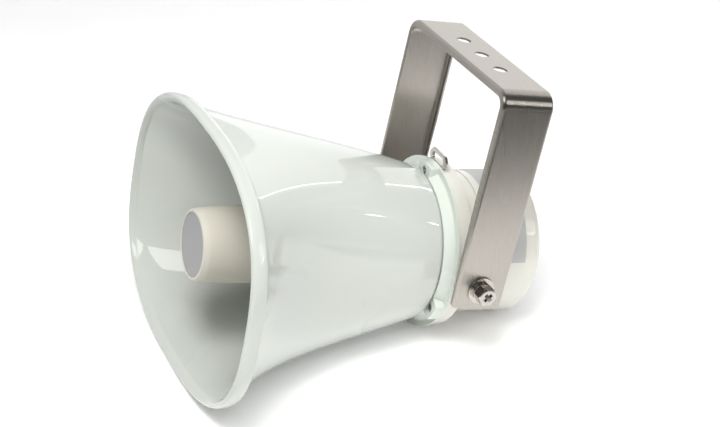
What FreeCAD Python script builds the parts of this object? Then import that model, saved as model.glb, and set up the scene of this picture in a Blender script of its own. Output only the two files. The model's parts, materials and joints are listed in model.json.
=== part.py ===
import FreeCAD, Part
import math
import os
from FreeCAD import Vector

# Reflex horn loudspeaker with a tilting stainless bracket, lying as it rests on a table.
# Working frame: Y runs back along the horn axis, Z is up, and the bracket pivot is the X axis.
# Millimetres and degrees throughout. The last section lays the finished pieces down at rest.

# Horn mouth and rolled lip
mouth_width = 272.0
mouth_height = 193.0
mouth_squareness = 2.6
mouth_ahead = 204.0
lip_band = 11.6
lip_crown_behind = 4.2
lip_front_inset = 2.4
lip_back_inset = 1.6
lip_crest_flat = 1.0
lip_crest_fall = 0.4
lip_return = 0.8
lip_proud_side = 6.4
lip_proud_top = 5.9

# Flare, from the round shoulder to the wide mouth
flare_wall = 3.0
shoulder_ahead = 23.3
shoulder_radius = 60.0
shoulder_round = 3.5
side_straight_share = 0.365
side_curve_power = 3.5
top_straight_share = 1.75
top_curve_power = 1.7
square_growth_power = 1.5
flare_stations = 7
round_stations = 5
outline_points = 24

# Neck of the flare and its seal
neck_radius = 55.5
neck_wall = 2.5
flange_radius = 58.0
flange_thick = 3.2
flare_gasket_thick = 0.8

# Clamp collar
collar_rim_radius = 66.0
collar_rim_thick = 2.0
collar_length = 9.5
hub_front_radius = 57.6
hub_back_radius = 61.2
hub_root_round = 1.5
collar_boss_width = 18.0
collar_boss_round = 2.5
collar_screw_circle = 60.0
collar_screw_count = 3
collar_screw_reach = 9.0

# Driver housing
housing_face_ahead = 12.5
ring_radius = 64.4
ring_length = 11.0
front_wall = 5.0
housing_radius = 54.7
housing_wall = 3.0
seam_behind = 13.0
pivot_boss_root_radius = 12.0
pivot_boss_end_radius = 11.0

# Rear cover
cover_step = 0.5
cover_wall = 3.0
cover_back = 65.0
cover_round = 8.0
cover_gasket_thick = 0.8
cover_screw_circle = 43.0
cover_screw_count = 3
cover_post_radius = 4.0
cover_screw_bite = 14.0

# Safety eye
eye_width = 27.0
eye_height = 11.0
eye_corner = 4.0
eye_hole_width = 18.4
eye_hole_height = 5.2
eye_thick = 2.5
eye_centre_up = 69.4
eye_tab_width = 14.0

# Reflex bullet and its badge
bullet_recess = 6.0
bullet_face_radius = 25.6
bullet_swell_radius = 27.6
bullet_swell_length = 15.0
bullet_back_radius = 33.0
bullet_length = 138.0
bullet_wall = 2.5
bullet_floor = 3.2
bullet_edge_round = 1.0
badge_radius = 23.9
badge_thick = 0.8
badge_sunk = 0.5
vane_count = 3
vane_thick = 3.0
vane_length = 56.0

# Throat tube
throat_radius = 10.0
throat_mouth_radius = 15.0
throat_wall = 2.5
throat_front_gap = 13.5
throat_flange_radius = 38.0
throat_flange_thick = 4.0
throat_root_radius = 18.0
throat_root_length = 8.0
throat_screw_circle = 32.0
throat_screw_count = 4

# Driver
motor_face_behind = 3.0
dome_radius = 19.4
dome_height = 6.0
dome_shell = 0.5
dome_rim = 0.6
coil_inner_radius = 18.5
coil_outer_radius = 19.5
coil_length = 9.0
coil_clearance = 0.5
surround_outer_radius = 25.0
surround_thick = 0.6
surround_roll = 2.0
phase_gap = 1.0
phase_plug_radius = 26.0
phase_plug_flange = 2.0
phase_plug_hole = 3.0
phase_slot_count = 6
phase_slot_width = 2.5
phase_cone_radius = 18.0
motor_radius = 37.5
top_plate_thick = 5.0
magnet_bore_radius = 24.0
magnet_thick = 15.0
yoke_radius = 36.0
yoke_thick = 5.0
yoke_chamfer = 2.0
pole_sunk = 0.8

# Line transformer
core_width = 42.0
core_height = 28.0
core_stack = 16.0
limb_width = 14.0
yoke_limb = 7.0
winding_bulge = 6.0
transformer_up = 6.0
strap_thick = 1.0
strap_foot = 9.0

# Cable gland
gland_down = 22.0
gland_thread_radius = 8.0
gland_bore_radius = 5.0
gland_across_flats = 22.0
gland_flange_thick = 4.0
gland_inside_length = 9.0
gland_front_thread_radius = 8.8
gland_front_thread_length = 7.0
gland_nut_length = 13.0
gland_nut_straight = 7.0
gland_mouth_radius = 5.2
gland_seal_radius = 6.7
gland_seal_bore = 3.6
gland_seal_length = 10.5
gland_seal_seat = 2.0
locknut_thick = 4.0

# Bracket
bracket_width = 162.0
bracket_rise = 154.0
bracket_drop = 14.8
strip_width = 41.5
strip_thick = 1.5
strip_edge_round = 2.6
turned_edge_depth = 5.6
turned_edge_taper = 85.0
bend_radius = 13.0
leg_corner_round = 2.5
bracket_hole_radius = 5.5
bracket_hole_spacing = 30.0
bracket_hole_count = 3
bracket_lean = 2.0

# Pivot hardware
bolt_radius = 4.0
bolt_across_flats = 13.0
bolt_head_height = 8.5
bolt_head_chamfer = 1.0
bolt_reach = 14.0
pivot_clearance = 0.3
flat_washer_radius = 10.5
flat_washer_thick = 1.6
spring_washer_radius = 7.2
spring_washer_thick = 2.4
spring_washer_gap = 1.6
insert_radius = 5.5
insert_length = 18.0

# Screws
screw_radius = 1.75
screw_head_radius = 3.0
screw_head_thick = 2.2
screw_sunk = 0.3
throat_screw_radius = 2.0
throat_screw_head_radius = 3.5
throat_screw_head_thick = 2.6
foot_screw_radius = 1.5
foot_screw_head_radius = 2.8
foot_screw_head_thick = 1.8
foot_screw_bite = 4.0
recess_arm = 1.3
recess_span_share = 0.55
recess_depth_share = 0.55
head_round_share = 0.28

# Clearances between pieces that fit one in another
fit = 0.3
snug = 0.1

# Places along the axis that several pieces share
mouth_y = -mouth_ahead
lip_back_y = mouth_y + lip_band
shoulder_y = -shoulder_ahead
housing_face_y = -housing_face_ahead
flange_back_y = housing_face_y - flare_gasket_thick
flange_front_y = flange_back_y - flange_thick
collar_front_y = housing_face_y - collar_length
inner_wall_y = housing_face_y + front_wall
cover_radius = housing_radius + cover_step
cover_front_y = seam_behind + cover_gasket_thick
cover_floor_y = cover_back - cover_wall
motor_y = motor_face_behind
magnet_y = motor_y + top_plate_thick
yoke_y = magnet_y + magnet_thick
yoke_back_y = yoke_y + yoke_thick
bullet_face_y = mouth_y + bullet_recess
bullet_back_y = bullet_face_y + bullet_length
bullet_floor_y = bullet_face_y + badge_sunk + badge_thick + bullet_floor
throat_front_y = bullet_floor_y + throat_front_gap
throat_flange_y = housing_face_y - throat_flange_thick
leg_outer_x = bracket_width / 2
leg_inner_x = leg_outer_x - strip_thick

along_axis = Vector(0, 1, 0)
sideways = Vector(1, 0, 0)


# Basic forms

def rod(radius, y_from, y_to, x=0.0, z=0.0):
    return Part.makeCylinder(radius, y_to - y_from, Vector(x, y_from, z), along_axis)


def side_rod(radius, x_from, x_to):
    return Part.makeCylinder(radius, x_to - x_from, Vector(x_from, 0, 0), sideways)


def box(x_from, x_to, y_from, y_to, z_from, z_to):
    return Part.makeBox(x_to - x_from, y_to - y_from, z_to - z_from, Vector(x_from, y_from, z_from))


def at(radius, y):
    return Vector(radius, y, 0)


def line(a, b):
    return Part.LineSegment(at(*a), at(*b)).toShape()


def arc(a, middle, b):
    return Part.Arc(at(*a), at(*middle), at(*b)).toShape()


def turned(edges):
    # Edges of a closed half section, radius against place along the axis.
    face = Part.Face(Part.Wire(edges))
    return face.revolve(Vector(0, 0, 0), along_axis, 360)


def turned_corners(corners):
    sides = [line(corners[i - 1], corners[i]) for i in range(len(corners))]
    return turned(sides)


def sphere_point(centre_y, radius, r):
    return (r, centre_y - math.sqrt(radius ** 2 - r ** 2))


def ring_of(shape, count, first_angle=0.0):
    copies = []
    for i in range(count):
        copy = shape.copy()
        copy.rotate(Vector(0, 0, 0), along_axis, -first_angle - i * 360.0 / count)
        copies.append(copy)
    return copies


def both_sides(shape):
    other = shape.copy()
    other.rotate(Vector(0, 0, 0), Vector(0, 0, 1), 180)
    return [shape, other]


def hexagon(across_flats, y_from, y_to, z=0.0):
    corner = across_flats / math.sqrt(3)
    points = []
    for i in range(7):
        turn = math.radians(60 * i)
        points.append(Vector(corner * math.cos(turn), y_from, z + corner * math.sin(turn)))
    return Part.Face(Part.makePolygon(points)).extrude(Vector(0, y_to - y_from, 0))


def cross_recess(head_radius, y_top, depth, x=0.0, z=0.0):
    # Two crossed slots with sloping ends, as a driver bit leaves them; the bit points along +Y.
    half = head_radius * recess_span_share
    arm = recess_arm * head_radius / screw_head_radius / 2
    slots = []
    for turn in (45, 135):
        corners = [(-half, y_top), (half, y_top), (half / 2, y_top + depth), (-half / 2, y_top + depth)]
        points = [Vector(u, v, -arm) for u, v in corners]
        slot = Part.Face(Part.makePolygon(points + points[:1])).extrude(Vector(0, 0, 2 * arm))
        slot.rotate(Vector(0, 0, 0), along_axis, turn)
        slot.translate(Vector(x, 0, z))
        slots.append(slot)
    return slots[0].fuse(slots[1])


def screw(shank_radius, head_radius, head_thick, y_seat, length, up):
    # Pan head towards -Y, shank towards +Y, standing on the line x = 0, z = up.
    head = rod(head_radius, y_seat - head_thick, y_seat, 0, up)
    top_edge = [e for e in head.Edges if abs(e.CenterOfMass.y - y_seat + head_thick) < 1e-6]
    head = head.makeFillet(head_thick * head_round_share, top_edge)
    head = head.cut(cross_recess(head_radius, y_seat - head_thick, head_thick * recess_depth_share, 0, up))
    return head.fuse(rod(shank_radius, y_seat, y_seat + length, 0, up)).removeSplitter()


# Horn flare

def outline(half_width, half_height, power, y):
    # A superellipse through evenly numbered points, so that all sections share their knots.
    points = []
    for i in range(outline_points):
        turn = 2 * math.pi * i / outline_points
        c = math.cos(turn)
        s = math.sin(turn)
        x = half_width * math.copysign(abs(c) ** (2 / power), c)
        z = half_height * math.copysign(abs(s) ** (2 / power), s)
        points.append(Vector(x, y, z))
    curve = Part.BSplineCurve()
    curve.interpolate(Points=points, Parameters=list(range(outline_points + 1)), PeriodicFlag=True)
    return Part.Wire(curve.toShape())


wall_start_y = shoulder_y - shoulder_round


def flare_share(y):
    return max(0.0, (wall_start_y - y) / (wall_start_y - lip_back_y))


def flare_size(y):
    # Half width, half height and squareness of the outer wall at one place along the axis.
    s = flare_share(y)
    wide = mouth_width / 2 - lip_proud_side - shoulder_radius
    high = mouth_height / 2 - lip_proud_top - shoulder_radius
    side = side_straight_share * s + (1 - side_straight_share) * s ** side_curve_power
    top = top_straight_share * s + (1 - top_straight_share) * s ** top_curve_power
    power = 2 + (mouth_squareness - 2) * s ** square_growth_power
    return shoulder_radius + wide * side, shoulder_radius + high * top, power


def flare_inner_size(y):
    # The wall is measured square to the surface, so a steep side needs a wider step inwards.
    step = flare_wall / 10
    w, h, power = flare_size(y)
    w_next, h_next, _ = flare_size(y - step)
    w_in = w - flare_wall * math.hypot(1, (w_next - w) / step)
    h_in = h - flare_wall * math.hypot(1, (h_next - h) / step)
    return w_in, h_in, power


def stations(y_from, y_to):
    return [y_from + (y_to - y_from) * i / (flare_stations - 1) for i in range(flare_stations)]


def lip_roll(turn):
    # Place along the axis and inset of the rolled lip; turn runs from -1, the front, to 1, the back.
    widest = math.radians(80)
    along = math.sin(abs(turn) * widest) / math.sin(widest)
    inset = (1 - math.cos(turn * widest)) / (1 - math.cos(widest))
    crown_y = mouth_y + lip_crown_behind
    if turn < 0:
        return crown_y + (mouth_y - crown_y) * along, lip_front_inset * inset
    return crown_y + (lip_back_y - crown_y) * along, lip_back_inset * inset


def smooth_loft(sections):
    cubic = 3
    wires = [outline(*size, y) for size, y in sections]
    return Part.makeLoft(wires, True, False, False, cubic)


def lip_section(inset, y):
    return outline(mouth_width / 2 - inset, mouth_height / 2 - inset, mouth_squareness, y)


def make_lip():
    # The roll starts inside the mouth and ends inside the wall, so both of its edges close on the flare.
    sections = [lip_section(lip_front_inset + 2 * lip_crest_flat, mouth_y + lip_crest_fall)]
    for i in range(-round_stations, round_stations + 1):
        y, inset = lip_roll(i / round_stations)
        sections.append(lip_section(inset, y))
    wall_width, wall_height, power = flare_size(lip_back_y)
    sunk = flare_wall / 2
    sections.append(outline(wall_width - sunk, wall_height - sunk, power, lip_back_y + lip_return))
    return Part.makeLoft(sections, True, True)


def make_shoulder():
    sections = []
    for i in range(round_stations + 1):
        turn = math.pi / 2 * i / round_stations
        radius = shoulder_radius - shoulder_round * (1 - math.cos(turn))
        sections.append(outline(radius, radius, 2, wall_start_y + shoulder_round * math.sin(turn)))
    return Part.makeLoft(sections, True, True)


def make_flare():
    inside_lip_y = lip_back_y - lip_band / 3
    wall = smooth_loft([(flare_size(y), y) for y in stations(wall_start_y, inside_lip_y)])
    neck = rod(neck_radius, wall_start_y, flange_back_y)
    flange = rod(flange_radius, flange_front_y, flange_back_y)

    inner_start_y = shoulder_y - flare_wall
    inner = [(flare_inner_size(y), y) for y in stations(inner_start_y, lip_back_y)]
    crest = lip_front_inset + lip_crest_flat
    mouth_in = (mouth_width / 2 - crest, mouth_height / 2 - crest, mouth_squareness)
    past = lip_band / 4
    last = inner[-1][0]
    beyond = [m + (m - n) * past / lip_band for m, n in zip(mouth_in[:2], last[:2])]
    inner.append((mouth_in, mouth_y))
    inner.append(((beyond[0], beyond[1], mouth_squareness), mouth_y - past))
    hollow = smooth_loft(inner)
    bore = rod(neck_radius - neck_wall, inner_start_y - flare_wall, flange_back_y)
    return wall.fuse([make_shoulder(), make_lip(), neck, flange]).cut(hollow).cut(bore)


def make_flare_gasket():
    ring = rod(flange_radius, flange_back_y, housing_face_y)
    return ring.cut(rod(neck_radius - neck_wall, flange_back_y, housing_face_y))


# Clamp collar that pulls the flare's flange against the housing

collar_seat_y = collar_front_y + screw_head_thick + screw_sunk


def make_collar():
    rim_front_y = housing_face_y - collar_rim_thick
    body = turned_corners([
        (neck_radius + fit, collar_front_y),
        (hub_front_radius, collar_front_y),
        (hub_back_radius, rim_front_y),
        (collar_rim_radius, rim_front_y),
        (collar_rim_radius, housing_face_y),
        (flange_radius + fit, housing_face_y),
        (flange_radius + fit, flange_front_y),
        (neck_radius + fit, flange_front_y),
    ])
    root = [e for e in body.Edges if abs(e.CenterOfMass.y - rim_front_y) < 1e-6 and e.Closed]
    root = [e for e in root if abs(e.Curve.Radius - hub_back_radius) < 1e-6]
    body = body.makeFillet(hub_root_round, root)
    half = collar_boss_width / 2
    block = box(-half, half, collar_front_y, housing_face_y, neck_radius - flange_thick, collar_rim_radius)
    upright = [e for e in block.Edges if abs(e.BoundBox.YLength - collar_length) < 1e-6]
    upright = [e for e in upright if e.CenterOfMass.z > neck_radius]
    block = block.makeFillet(collar_boss_round, upright)
    block = block.common(rod(collar_rim_radius, collar_front_y, housing_face_y))
    block = block.cut(rod(neck_radius + fit, collar_front_y, housing_face_y))
    block = block.cut(rod(flange_radius + fit, flange_front_y, housing_face_y))
    hole = rod(screw_radius + fit, collar_front_y, housing_face_y, 0, collar_screw_circle)
    sink = rod(screw_head_radius + fit, collar_front_y, collar_seat_y, 0, collar_screw_circle)
    body = body.fuse(ring_of(block, collar_screw_count)).removeSplitter()
    return body.cut(ring_of(hole.fuse(sink), collar_screw_count))


def make_collar_screws():
    length = housing_face_y + collar_screw_reach - collar_seat_y
    head = (screw_head_radius, screw_head_thick)
    one = screw(screw_radius, *head, collar_seat_y, length, collar_screw_circle)
    return ring_of(one, collar_screw_count)


# Safety eye, hooked over the top collar screw and clamped behind the collar

def eye_blank(grow, y_from, y_to):
    half = eye_width / 2 + grow
    low = eye_centre_up - eye_height / 2 - grow
    high = eye_centre_up + eye_height / 2 + grow
    cut = eye_corner
    corners = [
        (-half + cut, low), (half - cut, low), (half, low + cut), (half, high - cut),
        (half - cut, high), (-half + cut, high), (-half, high - cut), (-half, low + cut),
    ]
    points = [Vector(x, y_from, z) for x, z in corners]
    plate = Part.Face(Part.makePolygon(points + points[:1])).extrude(Vector(0, y_to - y_from, 0))
    tab_half = eye_tab_width / 2 + grow
    tab = box(-tab_half, tab_half, y_from, y_to, flange_radius + fit + snug - grow, low + cut)
    return plate.fuse(tab).removeSplitter()


def make_safety_eye():
    back_y = housing_face_y + eye_thick
    plate = eye_blank(0, housing_face_y, back_y)
    straight = (eye_hole_width - eye_hole_height) / 2
    end = eye_hole_height / 2
    hole = box(-straight, straight, housing_face_y, back_y, eye_centre_up - end, eye_centre_up + end)
    for x in (-straight, straight):
        hole = hole.fuse(rod(end, housing_face_y, back_y, x, eye_centre_up))
    grip = screw_radius + snug
    fork = rod(grip, housing_face_y, back_y, 0, collar_screw_circle)
    fork = fork.fuse(box(-grip, grip, housing_face_y, back_y, neck_radius, collar_screw_circle))
    return plate.cut(hole).cut(fork)


# Driver housing with the front ring, the pivot bosses and the posts for the rear cover

def make_housing():
    body = turned_corners([
        (0, housing_face_y),
        (ring_radius, housing_face_y),
        (ring_radius, housing_face_y + ring_length),
        (housing_radius, housing_face_y + ring_length),
        (housing_radius, seam_behind),
        (housing_radius - housing_wall, seam_behind),
        (housing_radius - housing_wall, inner_wall_y),
        (0, inner_wall_y),
    ])
    cavity = rod(housing_radius - housing_wall, inner_wall_y, seam_behind)
    root_x = housing_radius - housing_wall - pivot_boss_root_radius
    boss_length = leg_inner_x - root_x
    root = Vector(root_x, 0, 0)
    boss = Part.makeCone(pivot_boss_root_radius, pivot_boss_end_radius, boss_length, root, sideways)
    bosses = [b.cut(cavity) for b in both_sides(boss)]
    pocket = side_rod(insert_radius + snug, leg_inner_x - insert_length, leg_inner_x)
    post = rod(cover_post_radius, inner_wall_y, seam_behind, 0, cover_screw_circle)
    tapped = rod(screw_radius + snug, seam_behind - cover_screw_bite, seam_behind, 0, cover_screw_circle)
    collar_hole_end = housing_face_y + collar_screw_reach
    collar_hole = rod(screw_radius + snug, housing_face_y, collar_hole_end, 0, collar_screw_circle)
    throat_hole = rod(throat_screw_radius + snug, housing_face_y, inner_wall_y, 0, throat_screw_circle)
    face = Vector(0, housing_face_y, 0)
    throat = Part.makeCone(throat_radius, phase_cone_radius, front_wall, face, along_axis)
    body = body.fuse(bosses + ring_of(post, cover_screw_count)).removeSplitter()
    body = body.cut(both_sides(pocket) + ring_of(tapped, cover_screw_count))
    body = body.cut(ring_of(collar_hole, collar_screw_count))
    body = body.cut(ring_of(throat_hole, throat_screw_count, 45) + [throat])
    return body.cut(eye_blank(snug, housing_face_y, housing_face_y + eye_thick))


# Reflex bullet: a cup open to the rear, carried on the throat tube by three vanes

def make_bullet():
    swell_y = bullet_face_y + bullet_swell_length
    edge = bullet_edge_round
    floor_radius = bullet_swell_radius - bullet_wall
    corner = (bullet_face_radius - edge * (1 - math.sqrt(0.5)), bullet_face_y + edge * (1 - math.sqrt(0.5)))
    badge_seat_y = bullet_face_y + badge_sunk + badge_thick
    cup = turned([
        line((0, badge_seat_y), (badge_radius, badge_seat_y)),
        line((badge_radius, badge_seat_y), (badge_radius, bullet_face_y)),
        line((badge_radius, bullet_face_y), (bullet_face_radius - edge, bullet_face_y)),
        arc((bullet_face_radius - edge, bullet_face_y), corner, (bullet_face_radius, bullet_face_y + edge)),
        line((bullet_face_radius, bullet_face_y + edge), (bullet_swell_radius, swell_y)),
        line((bullet_swell_radius, swell_y), (bullet_back_radius, bullet_back_y)),
        line((bullet_back_radius, bullet_back_y), (bullet_back_radius - bullet_wall, bullet_back_y)),
        line((bullet_back_radius - bullet_wall, bullet_back_y), (floor_radius, swell_y)),
        line((floor_radius, swell_y), (bullet_face_radius - bullet_wall, bullet_floor_y)),
        line((bullet_face_radius - bullet_wall, bullet_floor_y), (0, bullet_floor_y)),
        line((0, bullet_floor_y), (0, badge_seat_y)),
    ])
    vane_front_y = throat_front_y + vane_thick
    vane_back_y = vane_front_y + vane_length
    vane = box(-vane_thick / 2, vane_thick / 2, vane_front_y, vane_back_y, 0, bullet_back_radius)
    skin_middle = bullet_wall / 2
    within = turned_corners([
        (0, swell_y), (bullet_swell_radius - skin_middle, swell_y),
        (bullet_back_radius - skin_middle, bullet_back_y), (0, bullet_back_y),
    ])
    vane = vane.common(within).cut(throat_outside(snug))
    return cup.fuse(ring_of(vane, vane_count, 60)).removeSplitter()


def make_badge():
    seat_y = bullet_face_y + badge_sunk + badge_thick
    return rod(badge_radius - snug, seat_y - badge_thick, seat_y)


# Throat tube: the first leg of the folded horn

def throat_outside(grow):
    return turned_corners([
        (0, throat_front_y),
        (throat_mouth_radius + throat_wall + grow, throat_front_y),
        (throat_radius + throat_wall + grow, throat_flange_y - throat_root_length),
        (throat_root_radius + grow, throat_flange_y),
        (throat_root_radius + grow, housing_face_y),
        (0, housing_face_y),
    ])


def make_throat_tube():
    body = throat_outside(0).fuse(rod(throat_flange_radius, throat_flange_y, housing_face_y))
    length = housing_face_y - throat_front_y
    front = Vector(0, throat_front_y, 0)
    bore = Part.makeCone(throat_mouth_radius, throat_radius, length, front, along_axis)
    hole = rod(throat_screw_radius + snug, throat_flange_y, housing_face_y, 0, throat_screw_circle)
    return body.removeSplitter().cut([bore] + ring_of(hole, throat_screw_count, 45))


def make_throat_screws():
    length = motor_y + top_plate_thick - snug - throat_flange_y
    one = screw(throat_screw_radius, throat_screw_head_radius, throat_screw_head_thick,
                throat_flange_y, length, throat_screw_circle)
    return ring_of(one, throat_screw_count, 45)


# Driver: phase plug, diaphragm and its clamp, voice coil and ring magnet motor

rim_y = motor_y - surround_thick
dome_edge_y = rim_y - dome_rim - phase_gap / 2
dome_sphere = (dome_radius ** 2 + dome_height ** 2) / (2 * dome_height)
dome_centre_y = dome_edge_y - dome_height + dome_sphere


def screw_clearance(y_from, y_to):
    hole = rod(throat_screw_radius + snug, y_from, y_to, 0, throat_screw_circle)
    return ring_of(hole, throat_screw_count, 45)


def make_phase_plug():
    radius = dome_sphere + phase_gap
    rim_radius = dome_radius - phase_gap / 2
    flange_y = inner_wall_y + phase_plug_flange
    inner = sphere_point(dome_centre_y, radius, phase_plug_hole)
    middle = sphere_point(dome_centre_y, radius, (phase_plug_hole + rim_radius) / 2)
    outer = sphere_point(dome_centre_y, radius, rim_radius)
    plug = turned([
        line((phase_plug_hole, inner_wall_y), (phase_plug_radius, inner_wall_y)),
        line((phase_plug_radius, inner_wall_y), (phase_plug_radius, flange_y)),
        line((phase_plug_radius, flange_y), (rim_radius, flange_y)),
        line((rim_radius, flange_y), outer),
        arc(outer, middle, inner),
        line(inner, (phase_plug_hole, inner_wall_y)),
    ])
    half = phase_slot_width / 2
    slot = box(-half, half, inner_wall_y, dome_edge_y, 2 * phase_plug_hole, phase_cone_radius - snug)
    return plug.cut(ring_of(slot, phase_slot_count))


def make_diaphragm_clamp():
    ring = rod(motor_radius, inner_wall_y, rim_y)
    ring = ring.cut(rod(surround_outer_radius, inner_wall_y, rim_y))
    ring = ring.cut(rod(phase_plug_radius + snug, inner_wall_y, inner_wall_y + phase_plug_flange))
    return ring.cut(screw_clearance(inner_wall_y, rim_y))


def make_surround():
    inner_radius = coil_outer_radius + coil_clearance
    middle = (inner_radius + surround_outer_radius) / 2
    inner_y = dome_edge_y + dome_rim
    crown_y = dome_edge_y - surround_roll
    roll = turned([
        line((motor_radius, motor_y), (motor_radius, rim_y)),
        line((motor_radius, rim_y), (surround_outer_radius, rim_y)),
        arc((surround_outer_radius, rim_y), (middle, crown_y), (inner_radius, dome_edge_y)),
        line((inner_radius, dome_edge_y), (inner_radius, inner_y)),
        arc((inner_radius, inner_y), (middle, crown_y + surround_thick), (surround_outer_radius, motor_y)),
        line((surround_outer_radius, motor_y), (motor_radius, motor_y)),
    ])
    return roll.cut(screw_clearance(rim_y, motor_y))


def make_dome():
    inside = dome_sphere - dome_shell
    rim_back_y = dome_edge_y + dome_rim
    rim_radius = coil_outer_radius + coil_clearance - fit
    shell_end = sphere_point(dome_centre_y, inside, coil_inner_radius)
    crown_inside = (0, dome_centre_y - inside)
    return turned([
        arc((0, dome_centre_y - dome_sphere), sphere_point(dome_centre_y, dome_sphere, dome_radius / 2),
            (dome_radius, dome_edge_y)),
        line((dome_radius, dome_edge_y), (rim_radius, dome_edge_y)),
        line((rim_radius, dome_edge_y), (rim_radius, rim_back_y)),
        line((rim_radius, rim_back_y), (coil_inner_radius, rim_back_y)),
        line((coil_inner_radius, rim_back_y), shell_end),
        arc(shell_end, sphere_point(dome_centre_y, inside, coil_inner_radius / 2), crown_inside),
        line(crown_inside, (0, dome_centre_y - dome_sphere)),
    ])


def make_voice_coil():
    top = dome_edge_y + dome_rim
    end = top + coil_length
    return rod(coil_outer_radius, top, end).cut(rod(coil_inner_radius, top, end))


def make_top_plate():
    gap_radius = coil_outer_radius + coil_clearance
    plate = rod(motor_radius, motor_y, magnet_y).cut(rod(gap_radius, motor_y, magnet_y))
    return plate.cut(screw_clearance(motor_y, magnet_y))


def make_magnet():
    return rod(motor_radius, magnet_y, yoke_y).cut(rod(magnet_bore_radius, magnet_y, yoke_y))


def make_yoke():
    pole_radius = coil_inner_radius - coil_clearance
    pole_y = motor_y + pole_sunk
    body = turned_corners([
        (0, pole_y), (pole_radius, pole_y), (pole_radius, yoke_y), (yoke_radius, yoke_y),
        (yoke_radius, yoke_back_y - yoke_chamfer), (yoke_radius - yoke_chamfer, yoke_back_y),
        (0, yoke_back_y),
    ])
    tap_radius = foot_screw_radius + snug
    for x in (-foot_x, foot_x):
        body = body.cut(rod(tap_radius, yoke_back_y - foot_screw_bite, yoke_back_y, x, transformer_up))
    return body


# Line transformer on the back of the motor

foot_x = core_width / 2 + strap_thick + strap_foot / 2


def make_core():
    half = core_width / 2
    z_low = transformer_up - core_stack / 2
    z_high = transformer_up + core_stack / 2
    back_y = yoke_back_y + core_height
    block = box(-half, half, yoke_back_y, back_y, z_low, z_high)
    for side in (-1, 1):
        x_in = side * limb_width / 2
        x_out = side * (half - yoke_limb)
        window_x = sorted((x_in, x_out))
        window = box(*window_x, yoke_back_y + yoke_limb, back_y - yoke_limb, z_low, z_high)
        block = block.cut(window)
    return block


def make_winding():
    limb = limb_width / 2 + snug
    stack = core_stack / 2 + snug
    reach_x = core_width / 2 - yoke_limb - snug
    reach_z = core_stack / 2 + winding_bulge
    y_from = yoke_back_y + yoke_limb + snug
    y_to = yoke_back_y + core_height - yoke_limb - snug
    coil = box(-reach_x, reach_x, y_from, y_to, transformer_up - reach_z, transformer_up + reach_z)
    long_edges = [e for e in coil.Edges if abs(e.BoundBox.YLength - (y_to - y_from)) < 1e-6]
    coil = coil.makeFillet(winding_bulge / 2, long_edges)
    return coil.cut(box(-limb, limb, y_from, y_to, transformer_up - stack, transformer_up + stack))


def make_strap():
    half = core_width / 2
    z_low = transformer_up - core_stack / 2
    z_high = transformer_up + core_stack / 2
    top_y = yoke_back_y + core_height
    hoop = box(-half - strap_thick, half + strap_thick, yoke_back_y, top_y + strap_thick, z_low, z_high)
    hoop = hoop.cut(box(-half, half, yoke_back_y, top_y, z_low, z_high))
    for side in (-1, 1):
        near = side * (half + strap_thick)
        far = side * (half + strap_thick + strap_foot)
        foot_top_y = yoke_back_y + strap_thick
        foot = box(*sorted((near, far)), yoke_back_y, foot_top_y, z_low, z_high)
        hole = rod(foot_screw_radius + snug, yoke_back_y, foot_top_y, side * foot_x, transformer_up)
        hoop = hoop.fuse(foot.cut(hole))
    return hoop.removeSplitter()


def make_strap_screws():
    seat_y = yoke_back_y + strap_thick
    head = (foot_screw_head_radius, foot_screw_head_thick)
    one = screw(foot_screw_radius, *head, 0, strap_thick + foot_screw_bite, 0)
    one.rotate(Vector(0, 0, 0), Vector(0, 0, 1), 180)
    screws = []
    for x in (-foot_x, foot_x):
        copy = one.copy()
        copy.translate(Vector(x, seat_y, transformer_up))
        screws.append(copy)
    return screws


# Rear cover, its seal and its screws

cover_seat_y = cover_back - screw_head_thick - screw_sunk


def make_cover():
    inner_radius = cover_radius - cover_wall
    turn = cover_radius - cover_round
    inner_round = cover_round - cover_wall
    bend_y = cover_back - cover_round
    slant = math.sqrt(0.5)

    def round_middle(size):
        return turn + size * slant, bend_y + size * slant

    cup = turned([
        line((inner_radius, cover_front_y), (cover_radius, cover_front_y)),
        line((cover_radius, cover_front_y), (cover_radius, bend_y)),
        arc((cover_radius, bend_y), round_middle(cover_round), (turn, cover_back)),
        line((turn, cover_back), (0, cover_back)),
        line((0, cover_back), (0, cover_floor_y)),
        line((0, cover_floor_y), (turn, cover_floor_y)),
        arc((turn, cover_floor_y), round_middle(inner_round), (inner_radius, bend_y)),
        line((inner_radius, bend_y), (inner_radius, cover_front_y)),
    ])
    post = rod(cover_post_radius, seam_behind, cover_floor_y, 0, cover_screw_circle)
    hole = rod(screw_radius + fit, seam_behind, cover_back, 0, cover_screw_circle)
    sink = rod(screw_head_radius + fit, cover_seat_y, cover_back, 0, cover_screw_circle)
    cup = cup.fuse(ring_of(post, cover_screw_count)).removeSplitter()
    cup = cup.cut(ring_of(hole.fuse(sink), cover_screw_count))
    return cup.cut(rod(gland_thread_radius + snug, cover_floor_y, cover_back, 0, -gland_down))


def make_cover_gasket():
    ring = rod(housing_radius, seam_behind, cover_front_y)
    return ring.cut(rod(housing_radius - housing_wall, seam_behind, cover_front_y))


def make_cover_screws():
    length = cover_seat_y - seam_behind + cover_screw_bite - snug
    one = screw(screw_radius, screw_head_radius, screw_head_thick, 0, length, 0)
    one.rotate(Vector(0, 0, 0), Vector(0, 0, 1), 180)
    one.translate(Vector(0, cover_seat_y, cover_screw_circle))
    return ring_of(one, cover_screw_count)


# Cable gland in the rear cover

gland_shoulder_y = cover_back + gland_flange_thick
gland_front_y = gland_shoulder_y + gland_front_thread_length
gland_end_y = gland_shoulder_y + gland_nut_length
seal_seat_y = cover_back + gland_seal_seat


def gland_rod(radius, y_from, y_to):
    return rod(radius, y_from, y_to, 0, -gland_down)


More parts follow.
